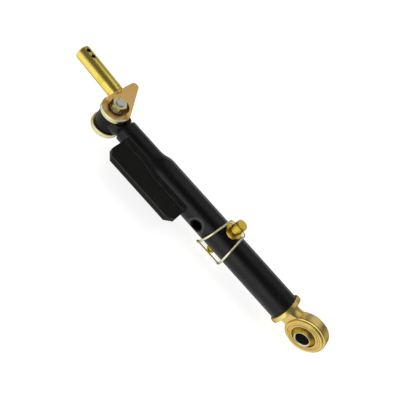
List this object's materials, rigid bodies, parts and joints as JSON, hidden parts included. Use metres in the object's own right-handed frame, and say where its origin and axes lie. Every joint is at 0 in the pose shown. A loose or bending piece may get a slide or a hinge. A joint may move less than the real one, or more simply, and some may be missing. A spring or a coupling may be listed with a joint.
{
  "type": "tractor stabilizer bar",
  "caption": "Telescopic linkage stabilizer bar with a swivel ball end, wire-locked pin, side stop fin and a swivelling hitch pin.",
  "frame": {"origin": "centre of the swivel ball", "axes": "+X along the bar to the hitch pin, +Y along the ball bore, +Z along the pivot bolt and lock pin"},
  "size_m": [0.5199, 0.1036, 0.0845],
  "materials": {
    "tube_paint": "satin black paint",
    "bar_paint": "satin black paint",
    "hidden_steel": "oiled plain steel",
    "forging_zinc": "yellow zinc plating",
    "ball_zinc": "olive yellow zinc plating",
    "lock_pin_zinc": "gold zinc plating",
    "wire_zinc": "pale zinc plating",
    "disc_zinc": "pale yellow zinc plating",
    "plate_zinc": "tan zinc plating",
    "bolt_zinc": "silver grey zinc plating",
    "nut_zinc": "yellow green zinc plating",
    "hitch_pin_zinc": "bright yellow zinc plating"
  },
  "bodies": {
    "tube": {"outer_tube": "tube_paint", "stop_fin": "tube_paint", "fin_weld_upper": "tube_paint", "fin_weld_lower": "tube_paint", "ball_end": "forging_zinc", "ball_end_weld": "tube_paint", "race_near": "forging_zinc", "race_far": "forging_zinc", "lock_pin": "lock_pin_zinc"},
    "ball": {"swivel_ball": "ball_zinc"},
    "bail": {"lock_bail": "wire_zinc"},
    "bar": {"inner_bar": "bar_paint", "guide_collar": "hidden_steel", "collar_pin": "hidden_steel", "eye_tube": "bar_paint", "eye_weld": "bar_paint", "pivot_bush": "hidden_steel"},
    "swivel": {"spacer_sleeve": "hidden_steel", "disc_far": "disc_zinc", "disc_near": "disc_zinc", "pivot_bolt": "bolt_zinc", "nut_washer": "bolt_zinc", "pivot_nut": "nut_zinc", "flag_plate": "plate_zinc", "plate_weld": "disc_zinc", "hitch_pin": "hitch_pin_zinc", "pin_weld": "disc_zinc"}
  },
  "joints": [
    {"name": "ball_tilt", "type": "hinge", "parent": "tube", "child": "ball", "pos_m": [0, 0, 0], "axis": [0, 0, 1], "range_deg": [-15, 15]},
    {"name": "bail_swing", "type": "hinge", "parent": "tube", "child": "bail", "pos_m": [0.17, 0, 0.037], "axis": [1, 0, 0], "range_deg": [0, 120]},
    {"name": "bar_slide", "type": "slide", "parent": "tube", "child": "bar", "axis": [1, 0, 0], "range_m": [0, 0.045]},
    {"name": "pin_swivel", "type": "hinge", "parent": "bar", "child": "swivel", "pos_m": [0.397, 0, -0.0045], "axis": [0, 0, 1], "range_deg": [-85, 85]}
  ]
}
